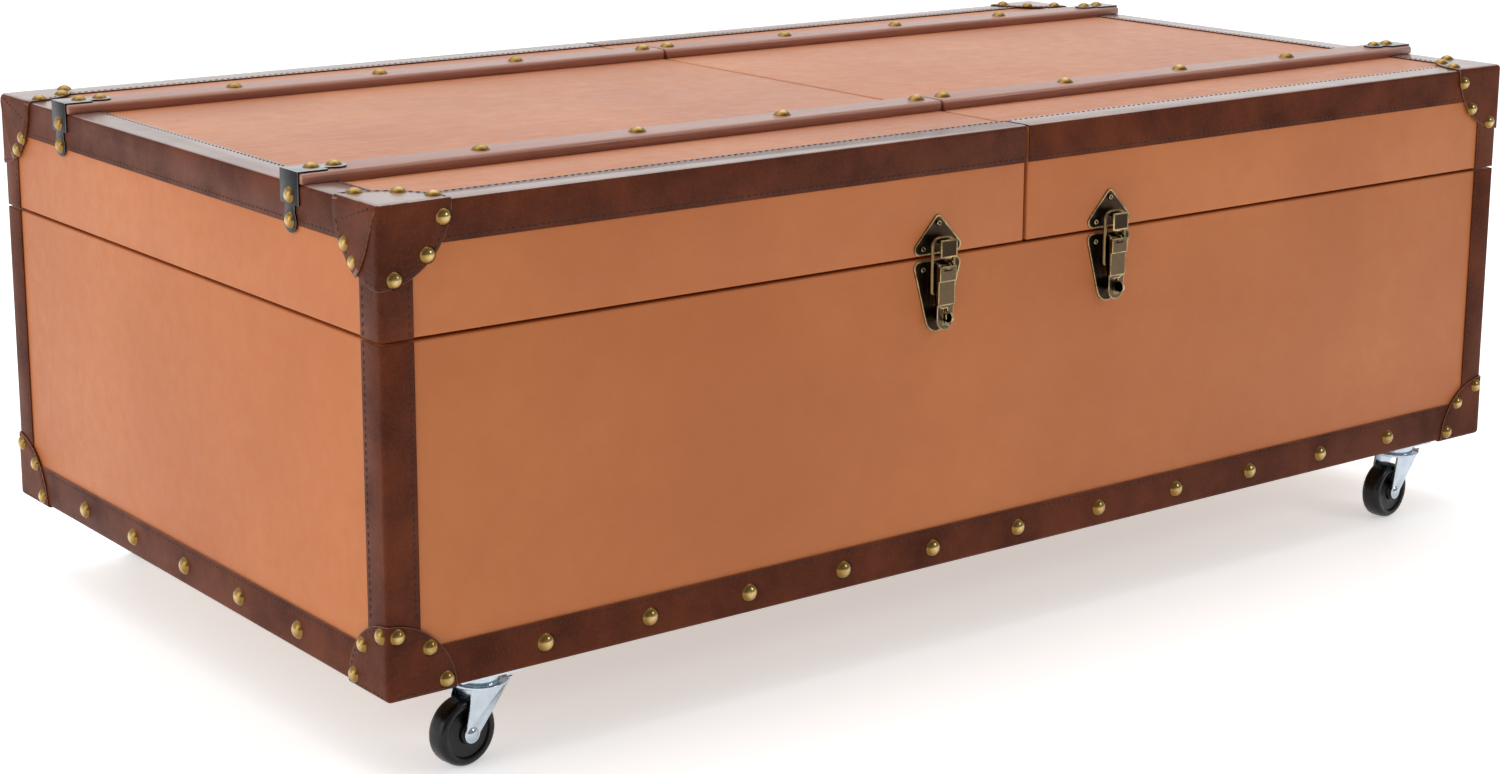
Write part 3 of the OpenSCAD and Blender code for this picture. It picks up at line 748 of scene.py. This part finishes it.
def round_over(point, lift=0.0):
    """Moves a point of a sharp box corner at the origin onto the rounded one."""
    centre = Vector([max(v, CAP_ROUND) for v in point])
    away = point - centre
    if away.length < 1e-9:
        return point
    return centre + away.normalized() * (CAP_ROUND + lift)


def fan(bm, along, normal, radii, angle=90.0, steps=CAP_STEPS):
    """A flat fan of faces round the origin, swept about a normal from a line of points."""
    verts = [bm.verts.new(along * r) for r in radii]
    edges = [bm.edges.new(pair) for pair in zip(verts, verts[1:])]
    bmesh.ops.spin(
        bm,
        geom=verts + edges,
        cent=(0, 0, 0),
        axis=normal,
        angle=math.radians(angle),
        steps=steps,
        use_merge=False,
    )


def crowd_to_folds(vert, along, across):
    """Moves a fan's spokes closer together near its two straight sides."""
    a, b = vert.co.dot(along), vert.co.dot(across)
    reach = math.hypot(a, b)
    if reach < 1e-9:
        return
    turn = math.pi / 2 * math.sin(math.atan2(b, a)) ** 2
    vert.co = reach * (math.cos(turn) * along + math.sin(turn) * across)


def thicken(bm, thickness):
    """Gives an open sheet its thickness, and eases and tints its cut edges."""
    bmesh.ops.remove_doubles(bm, verts=bm.verts, dist=2 * MERGE)
    bmesh.ops.recalc_face_normals(bm, faces=bm.faces)
    centre = sum((v.co for v in bm.verts), Vector()) / len(bm.verts)
    if sum(f.normal.dot(f.calc_center_median() - centre) for f in bm.faces) < 0:
        bmesh.ops.reverse_faces(bm, faces=bm.faces)
    bmesh.ops.solidify(bm, geom=list(bm.faces), thickness=thickness)
    bmesh.ops.recalc_face_normals(bm, faces=bm.faces)
    crisp = outer_edges(bm, 60)
    for face in bm.faces:
        if sum(e in crisp for e in face.edges) >= 2:
            face.material_index = 1
    for face in bevel(bm, crisp, CUT_ROUND, 2):
        face.material_index = 1


def corner_sheet(reach, thickness):
    """The cap in a corner whose outer planes meet at the origin."""
    bm = bmesh.new()
    radii = [0, 0.8, 1.8, 3, 4.5, 7, 11, 17, 24, 31, 38, 45]
    radii = [r * MM for r in radii if r * MM < reach - 3 * MM] + [reach]
    for along, across, normal in ((X, Y, Z), (Y, Z, X), (Z, X, Y)):
        before = set(bm.verts)
        fan(bm, along, normal, radii)
        for vert in set(bm.verts) - before:
            crowd_to_folds(vert, along, across)
    bmesh.ops.remove_doubles(bm, verts=bm.verts, dist=2 * MERGE)
    for vert in bm.verts:
        vert.co = round_over(vert.co)
    thicken(bm, thickness)
    return bm


def end_flap(reach, thickness):
    """The leather folded over a lid's end, with its slanting edge standing proud."""
    bm = bmesh.new()
    radii = [r * MM for r in (4, 7, 11, 17, 24, 31, 38, 45, 50)] + [reach + 0.4 * MM]
    fan(bm, Y, X, radii, angle=FLAP_TURN, steps=FLAP_STEPS)
    for vert in bm.verts:
        turn = math.degrees(math.atan2(vert.co.z, vert.co.y)) / FLAP_TURN
        far = vert.co.length / reach
        extra = math.radians(4.5 * math.sin(math.pi * min(1, far)) * turn**3)
        vert.co = Matrix.Rotation(extra, 3, "X") @ vert.co
        from_fold = min(1.0, max(0.0, (vert.co.z - 1 * MM) / (7 * MM)))
        curl = max(0.0, turn - 0.72) / 0.28 * far
        vert.co = round_over(vert.co, FLAP_LIFT * from_fold + FLAP_CURL * curl)
    thicken(bm, thickness)
    return bm


def to_corner(low, high):
    """The matrix that takes a corner at the origin to the outer corner of a cap's box."""
    centre = (low + high) / 2
    top = centre.z > case_high.z
    corner = Vector(
        (
            high.x if centre.x > 0 else low.x,
            high.y if centre.y > 0 else low.y,
            high.z if top else low.z,
        )
    )
    inward = [-1 if centre.x > 0 else 1, -1 if centre.y > 0 else 1, -1 if top else 1]
    return Matrix.Translation(corner) @ Matrix.Diagonal((*inward, 1))


def join_in(target, made, matrix):
    """Adds a bmesh to another, moved into place, and frees it."""
    made.transform(matrix)
    mesh = bpy.data.meshes.new("joined")
    made.to_mesh(mesh)
    made.free()
    if matrix.determinant() < 0:
        mesh.flip_normals()
    target.from_mesh(mesh)
    bpy.data.meshes.remove(mesh)


def cap_boxes(node):
    """The box of each corner cap; a cap's three sheets touch, so they count as one."""
    boxes = {}
    for low, high in islands(node):
        centre = (low + high) / 2
        key = (centre.x > 0, centre.y > 0)
        if key in boxes:
            old_low, old_high = boxes[key]
            low = Vector([min(a, b) for a, b in zip(low, old_low)])
            high = Vector([max(a, b) for a, b in zip(high, old_high)])
        boxes[key] = (low, high)
    return [boxes[key] for key in sorted(boxes)]


def make_caps(name, node, body, flaps):
    """Moulded leather caps over the corners, with a flap on the end face of a lid's."""
    bm = bmesh.new()
    for low, high in cap_boxes(node):
        matrix = to_corner(low, high)
        reach = high.x - low.x
        join_in(bm, corner_sheet(reach, CAP_T), matrix)
        if flaps:
            join_in(bm, end_flap(reach, CAP_T), matrix)
    bm.normal_update()
    # Faces that look up get the paler copy: a painted sheen.
    give_tops_painted_light(bm, 2)
    finish_piece(
        name,
        bm,
        [BINDING, CUT_EDGE, BINDING_TOP_PAINTED_SHEEN],
        body,
        [node],
        smooth=40,
    )


make_caps("foot_caps", "foot_corner_caps", "case", False)
for side in SIDES:
    make_caps("lid_caps_" + side, "lid_corner_caps_" + side, "lid_" + side, True)


# ---------- stitching ----------

rng = random.Random(11)


def one_stitch():
    """The mesh of a stitch, lying along X with Z outwards."""
    bm = bmesh.new()
    bmesh.ops.create_icosphere(bm, subdivisions=1, radius=0.5)
    bmesh.ops.scale(bm, verts=bm.verts, vec=STITCH)
    mesh = bpy.data.meshes.new("stitch")
    bm.to_mesh(mesh)
    bm.free()
    return mesh


STITCH_MESH = one_stitch()


def put_stitch(bm, where, along, outward):
    """One stitch at a point, turned a little off the line as a real one is."""
    along = along.normalized()
    outward = outward.normalized()
    across = outward.cross(along)
    facing = Matrix((along, across, outward)).transposed().to_4x4()
    slant = Matrix.Rotation(rng.uniform(-STITCH_SLANT, STITCH_SLANT), 4, "Z")
    start = len(bm.verts)
    bm.from_mesh(STITCH_MESH)
    bm.verts.ensure_lookup_table()
    bmesh.ops.transform(
        bm,
        matrix=Matrix.Translation(where) @ facing @ slant,
        verts=bm.verts[start:],
    )


def stitch_line(bm, start, end, outward):
    """A straight row of stitches."""
    length = (end - start).length
    count = max(1, round(length / STITCH_PITCH))
    for k in range(count):
        at = start.lerp(end, (k + 0.5) / count)
        put_stitch(bm, at, end - start, outward)


def stitch_curve(bm, points, outward):
    """A row of stitches along a smooth run of points."""
    spent, target = 0.0, STITCH_PITCH / 2
    for a, b in zip(points, points[1:]):
        step = (b - a).length
        while spent + step >= target:
            put_stitch(bm, a.lerp(b, (target - spent) / step), b - a, outward)
            target += STITCH_PITCH
        spent += step


def stitch_foot_band(bm):
    """A row near the top of the foot band, on each side between the caps."""
    low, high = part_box("foot_binding")
    z = high.z - STITCH_INSET
    left, right = low.x + CAP_CLEAR, high.x - CAP_CLEAR
    front, rear = low.y + CAP_CLEAR, high.y - CAP_CLEAR
    for sign, y in ((-1, low.y), (1, high.y)):
        stitch_line(bm, Vector((left, y, z)), Vector((right, y, z)), sign * Y)
    for sign, x in ((-1, low.x), (1, high.x)):
        stitch_line(bm, Vector((x, front, z)), Vector((x, rear, z)), sign * X)


def stitch_corner_strip(bm, x, y, width, z_low, z_high):
    """Rows up both strips at an outer corner of the box, near their cut edges."""
    inward_x, inward_y = -math.copysign(1, x), -math.copysign(1, y)
    off = width - STITCH_INSET
    at = x + inward_x * off
    stitch_line(bm, Vector((at, y, z_low)), Vector((at, y, z_high)), -inward_y * Y)
    at = y + inward_y * off
    stitch_line(bm, Vector((x, at, z_low)), Vector((x, at, z_high)), -inward_x * X)


def stitch_cap(bm, low, high, flap):
    """Rows along the arcs of a corner cap, and across a lid's flap."""
    matrix = to_corner(low, high)
    turn3 = matrix.to_3x3()
    reach = high.x - low.x - 2.6 * MM  # 2.6 mm in from the cap's cut edge
    last = 87
    for along, across, normal in ((X, Y, Z), (Z, X, Y), (Y, Z, X)):
        first = FLAP_TURN + 8 if normal == X and flap else 3
        points = []
        for k in range(31):
            turn = math.radians(first + (last - first) * k / 30)
            local = reach * (math.cos(turn) * along + math.sin(turn) * across)
            points.append(matrix @ local)
        stitch_curve(bm, points, turn3 @ -normal)
    if not flap:
        for along, normal in ((X, Y), (Y, X)):
            spans = (6 * MM, reach - 1 * MM)
            ends = [matrix @ (t * along + STITCH_INSET * Z) for t in spans]
            stitch_line(bm, *ends, turn3 @ -normal)
        return
    round_the_edge = (16, FLAP_TURN - 2, reach, reach)
    across_the_flap = (19, 19, 9 * MM, reach - 6 * MM)
    for first, last, near, far in (round_the_edge, across_the_flap):
        points = []
        for k in range(25):
            t = k / 24
            turn = math.radians(first + (last - first) * t)
            local = (near + (far - near) * t) * (math.cos(turn) * Y + math.sin(turn) * Z)
            points.append(matrix @ (local - FLAP_LIFT * X))
        stitch_curve(bm, points, turn3 @ -X)


def make_case_stitching():
    """All the rows on the case, as one piece."""
    bm = bmesh.new()
    stitch_foot_band(bm)
    low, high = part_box("case_corner_bindings")
    for x in (low.x, high.x):
        for y in (low.y, high.y):
            stitch_corner_strip(bm, x, y, STRIP_W, low.z + 20 * MM, high.z)
    for low, high in cap_boxes("foot_corner_caps"):
        stitch_cap(bm, low, high, False)
    finish_piece("case_stitching", bm, [THREAD], "case", smooth=180)


def make_lid_stitching(side):
    """All the rows on one lid, as one piece."""
    bm = bmesh.new()
    sign = SIDES[side]
    low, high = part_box("lid_binding_" + side)
    outer = low.x if sign < 0 else high.x
    split = high.x if sign < 0 else low.x
    band = EDGE_BAND - STITCH_INSET
    edge = high.z - band
    clear = outer - sign * CAP_CLEAR
    inner = outer - sign * band
    for facing, y in ((-1, low.y), (1, high.y)):
        stitch_line(bm, Vector((clear, y, edge)), Vector((split, y, edge)), facing * Y)
        at = y - facing * band
        stitch_line(bm, Vector((inner, at, high.z)), Vector((split, at, high.z)), Z)
        stitch_corner_strip(bm, outer, y, STRIP_W, low.z, high.z - CAP_CLEAR - 3 * MM)
    front, rear = low.y + CAP_CLEAR, high.y - CAP_CLEAR
    stitch_line(bm, Vector((outer, front, edge)), Vector((outer, rear, edge)), sign * X)
    front, rear = low.y + band, high.y - band
    stitch_line(bm, Vector((inner, front, high.z)), Vector((inner, rear, high.z)), Z)
    for low, high in cap_boxes("lid_corner_caps_" + side):
        stitch_cap(bm, low, high, True)
    finish_piece(
        "lid_stitching_" + side, bm, [THREAD], "lid_" + side, smooth=180
    )


make_case_stitching()
for side in SIDES:
    make_lid_stitching(side)


# ---------- nails ----------


def heads(node):
    """Each round head of a CAD node: its foot, direction, radius, height and matrix."""
    for low, high in islands(node):
        size = high - low
        axis = min(range(3), key=lambda i: size[i])
        centre = (low + high) / 2
        outward = Vector((0, 0, 0))
        outward[axis] = 1 if centre[axis] > 0 else -1
        foot = centre.copy()
        foot[axis] = low[axis] if outward[axis] > 0 else high[axis]
        turn = outward.to_track_quat("Z", "Y").to_matrix().to_4x4()
        yield foot, outward, max(size) / 2, size[axis], Matrix.Translation(foot) @ turn


def turned(bm, profile, matrix, steps):
    """Spins a profile of (radius, height) points round Z, moves it into place and returns it."""
    before = set(bm.verts)
    verts = [bm.verts.new((r, 0, z)) for r, z in profile]
    edges = [bm.edges.new(pair) for pair in zip(verts, verts[1:])]
    bmesh.ops.spin(
        bm,
        geom=verts + edges,
        cent=(0, 0, 0),
        axis=(0, 0, 1),
        angle=math.tau,
        steps=steps,
        use_merge=True,
    )
    made = [v for v in bm.verts if v not in before]
    bmesh.ops.remove_doubles(bm, verts=made, dist=MERGE)
    made = [v for v in bm.verts if v not in before]
    bmesh.ops.transform(bm, matrix=matrix, verts=made)
    return made


def make_nails(name, node, body):
    """A domed head with a thin brim at each place where the CAD node has one."""
    bm = bmesh.new()
    layer = bm.verts.layers.float.new("rubbed")
    for foot, outward, radius, height, matrix in heads(node):
        ball = (radius**2 + height**2) / (2 * height)
        spread = math.asin(min(1.0, radius / ball))
        profile = [(radius, 0)]
        for k in range(DOME_RINGS + 1):
            angle = spread * (1 - k / DOME_RINGS)
            rise = ball * math.cos(angle) - ball + height
            profile.append((ball * math.sin(angle) * DOME_WIDTH, rise))
        made = turned(bm, profile, matrix, NAIL_FACETS)
        for vert in made:
            rise = (vert.co - foot).dot(outward)
            vert[layer] = max(0.0, (rise / height - 0.55) * 1.6)
        rim = dict.fromkeys(e for v in made for e in v.link_edges if e.is_boundary)
        bmesh.ops.contextual_create(bm, geom=list(rim))
    finish_piece(name, bm, [BRASS], body, [node], smooth=50, recalc=True)


make_nails("case_nail_heads", "case_nails", "case")
for side in SIDES:
    make_nails("lid_nail_heads_" + side, "lid_nails_" + side, "lid_" + side)


# ---------- slats and clips ----------


def make_slats(side):
    """The lid's two slats, worn pale near their upper edges."""
    bm = cad_mesh("lid_slats_" + side)
    layer = bm.verts.layers.float.new("rubbed")
    top = max(v.co.z for v in bm.verts)
    bevel(bm, sharp_edges(bm, 60), SLAT_ROUND, 2)
    for vert in bm.verts:
        near_edge = 1 - abs(top - vert.co.z - SLAT_WEAR_AT) / SLAT_WEAR_REACH
        vert[layer] = max(0.0, min(1.0, near_edge))
    finish_piece(
        "slats_" + side, bm, [SLAT], "lid_" + side, ["lid_slats_" + side]
    )


def make_clips(side):
    """Blackened clips over the slats' outer ends, with tops painted pale as a painted reflection.
    """
    node = "lid_clips_" + side
    bm = eased(node, CLIP_ROUND)
    give_tops_painted_light(bm, 1)
    finish_piece(
        "slat_clips_" + side, bm, [IRON, CLIP_TOP_PAINTED_REFLECTION], "lid_" + side, [node]
    )


for side in SIDES:
    make_slats(side)
    make_clips(side)


# ---------- hardware ----------


def rimmed_plate(name, node, body):
    """A pressed latch plate: its face lies a little lower than its worn rim.

    What stands on the plate, such as its catch, has eased edges worn bright.
    """
    bm = cad_mesh(node)
    layer = bm.verts.layers.float.new("rubbed")
    levels = {}
    for face in bm.faces:
        if face.normal.y < -0.99:
            y = round(face.calc_center_median().y, 5)
            levels[y] = levels.get(y, 0) + face.calc_area()
    front = max(levels, key=levels.get)
    facing = [f for f in bm.faces if f.normal.y < -0.99]
    set_in(bm, [f for f in facing if on_plane(f, 1, front, 2 * NEAR)], RIM_W, RIM_RISE)
    outline = [e for e in outer_edges(bm, 60) if on_plane(e, 1, front, 2 * NEAR)]
    rub(bevel(bm, outline, RIM_ROUND, 3), layer, 1.0)
    proud = front - 0.1 * MM
    blocks = [e for e in outer_edges(bm, 40) if all(v.co.y < proud for v in e.verts)]
    rounded = set(bevel(bm, blocks, BLOCK_ROUND, 2))
    rub(rounded, layer, 1.0)
    broad = [
        f
        for f in bm.faces
        if f not in rounded
        and f.calc_area() > 40 * MM**2
        and f.calc_center_median().y < front - 1 * MM
    ]
    bmesh.ops.inset_individual(
        bm, faces=broad, thickness=BLOCK_WORN_BAND, use_even_offset=True
    )
    rub(broad, layer, 0.0)
    finish_piece(name, bm, [BRONZE], body, [node], smooth=40)


def make_rivets(name, node, body):
    """Small eyelet rivets with hollow centres; the lids' hinge screws are among them."""
    bm = bmesh.new()
    layer = bm.verts.layers.float.new("rubbed")
    for foot, outward, r, h, matrix in heads(node):
        profile = [
            (0, 0), (r, 0), (r, 0.3 * h), (0.86 * r, 0.82 * h), (0.66 * r, h),
            (0.5 * r, 0.86 * h), (0.4 * r, 0.3 * h), (0, 0.22 * h),
        ]
        for vert in turned(bm, profile, matrix, RIVET_FACETS):
            if (vert.co - foot).dot(outward) > 0.8 * h:
                vert[layer] = 0.8
    finish_piece(name, bm, [BRONZE], body, [node], smooth=45, recalc=True)


CASTER_AXIS = {
    joint["name"][-2:]: Vector(joint["pos_m"])
    for joint in frame["record"]["behaviour"]["joints"]
    if joint["name"].startswith("caster_swivel_")
}


def make_wheel(corner):
    """A moulded wheel: a rounded tread, a raised ring on each face and a hub."""
    low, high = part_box("caster_wheel_" + corner)
    centre = (low + high) / 2
    swivel = CASTER_AXIS[corner]
    along = Vector((centre.x - swivel.x, centre.y - swivel.y, 0)).normalized()
    axis = Vector((-along.y, along.x, 0))
    r = (high.z - low.z) / 2
    half = WHEEL_HALF
    hub, dish = half + HUB_PROUD, half - 2.6 * MM
    side = [
        (AXLE_HOLE, hub), (0.27 * r, hub), (0.31 * r, hub - 0.5 * MM),
        (0.34 * r, half - 1.9 * MM), (0.42 * r, dish), (0.66 * r, dish),
        (0.72 * r, half - 2.2 * MM), (0.755 * r, half - 0.5 * MM), (0.80 * r, half),
        (0.865 * r, half), (0.925 * r, half - 0.7 * MM), (0.975 * r, half - 2.2 * MM),
        (r, half - 4.6 * MM),
    ]
    profile = side + [(a, -b) for a, b in reversed(side)]
    profile.append(profile[0])
    bm = bmesh.new()
    turn = axis.to_track_quat("Z", "Y").to_matrix().to_4x4()
    turned(bm, profile, Matrix.Translation(centre) @ turn, WHEEL_FACETS)
    finish_piece(
        "wheel_" + corner,
        bm,
        [PLASTIC],
        "wheel_" + corner,
        ["caster_wheel_" + corner],
        smooth=38,
        recalc=True,
    )


for side in SIDES:
    lid = "lid_" + side
    eased_piece(
        "lid_hinge_leaves_" + side,
        "hinge_leaves_lid_" + side,
        lid,
        IRON,
        HINGE_ROUND,
    )
    worn_piece(
        "lever_" + side,
        "latch_lever_" + side,
        "lever_" + side,
        LEVER_BRONZE,
        LEVER_ROUND,
        LEVER_WORN_BAND,
    )
    rimmed_plate("lid_latch_plate_" + side, "latch_plate_lid_" + side, lid)
    rimmed_plate("case_latch_plate_" + side, "latch_plate_case_" + side, "case")
    make_rivets("lid_eyelets_" + side, "lid_rivets_" + side, lid)
    dress_node("latch_loop_" + side, WIRE)

make_rivets("case_eyelets", "latch_rivets_case", "case")

for node in ("hinge_leaves_case", "hinge_pins", "hinge_screws_case"):
    dress_node(node, IRON)
for node in ("caster_plates", "caster_screws"):
    dress_node(node, ZINC)

for corner in CASTERS:
    eased_piece(
        "fork_" + corner,
        "caster_fork_" + corner,
        "fork_" + corner,
        ZINC,
        FORK_ROUND,
    )
    dress_node("caster_axle_" + corner, ZINC)
    make_wheel(corner)


# ---------- stage, light and camera ----------


def make_stage():
    """A plain pale floor that runs on to the horizon."""
    bm = bmesh.new()
    bmesh.ops.create_grid(bm, x_segments=1, y_segments=1, size=30)
    mesh = bpy.data.meshes.new("floor")
    bm.to_mesh(mesh)
    bm.free()
    material, tree, shader = new_material("pale floor")
    shade(
        tree,
        shader,
        Base_Color=(0.94, 0.94, 0.94, 1),
        Roughness=0.6,
        Emission_Color=(1, 1, 1, 1),
        Emission_Strength=0.45,
    )
    mesh.materials.append(material)
    floor = bpy.data.objects.new("floor", mesh)
    bpy.context.scene.collection.objects.link(floor)


def soft_light(name, where, aim, size, watts):
    """A white rectangular lamp that faces a point."""
    lamp = bpy.data.lights.new(name, "AREA")
    lamp.shape = "RECTANGLE"
    lamp.size, lamp.size_y = size
    lamp.energy = watts
    light = bpy.data.objects.new(name, lamp)
    bpy.context.scene.collection.objects.link(light)
    light.location = where
    facing = (Vector(aim) - Vector(where)).to_track_quat("-Z", "Y")
    light.rotation_euler = facing.to_euler()


def make_world():
    """White all round behind the trunk, and dimmer towards the front."""
    world = bpy.data.worlds.new("studio")
    world.use_nodes = True
    tree = world.node_tree
    direction = add(tree, "TexCoord").outputs["Generated"]
    depth = add(tree, "SeparateXYZ", {0: direction}).outputs[1]
    strength = remap(tree, depth, -0.55, 0.2, 0.3, 1.0)
    background = tree.nodes["Background"]
    tree.links.new(strength, background.inputs["Strength"])
    background.inputs["Color"].default_value = (1, 1, 1, 1)
    bpy.context.scene.world = world


make_stage()
soft_light("overhead", (0.1, 0.5, 2.4), (0, 0, 0.3), (3.2, 2.2), 24)
soft_light("left side", (-3.2, -0.2, 1.2), (-0.4, 0, 0.2), (1.6, 2.0), 16)
soft_light("front right", (1.6, -2.8, 1.9), (0.2, 0, 0.25), (0.7, 0.7), 13)
make_world()
bpy.context.scene.view_settings.view_transform = "Standard"

CAMERA_AZIMUTH = math.radians(37.43)
CAMERA_ELEVATION = math.radians(12.42)
CAMERA_ROLL = math.radians(0.235)
CAMERA_DISTANCE = 2.318
CAMERA_TARGET = Vector((-0.0227, 0.0151, 0.2192))
CAMERA_LENS = 65.77
CAMERA_SHIFT = -0.068


def make_camera():
    """The camera, in front of the trunk and to its left, a little above it."""
    data = bpy.data.cameras.new("camera")
    data.lens = CAMERA_LENS
    data.shift_y = CAMERA_SHIFT
    camera = bpy.data.objects.new("camera", data)
    bpy.context.scene.collection.objects.link(camera)
    level = math.cos(CAMERA_ELEVATION)
    back = Vector(
        (
            -math.sin(CAMERA_AZIMUTH) * level,
            -math.cos(CAMERA_AZIMUTH) * level,
            math.sin(CAMERA_ELEVATION),
        )
    )
    camera.location = CAMERA_TARGET + back * CAMERA_DISTANCE
    facing = (-back).to_track_quat("-Z", "Y").to_matrix()
    camera.rotation_euler = (facing @ Matrix.Rotation(CAMERA_ROLL, 3, "Z")).to_euler()
    bpy.context.scene.camera = camera


make_camera()
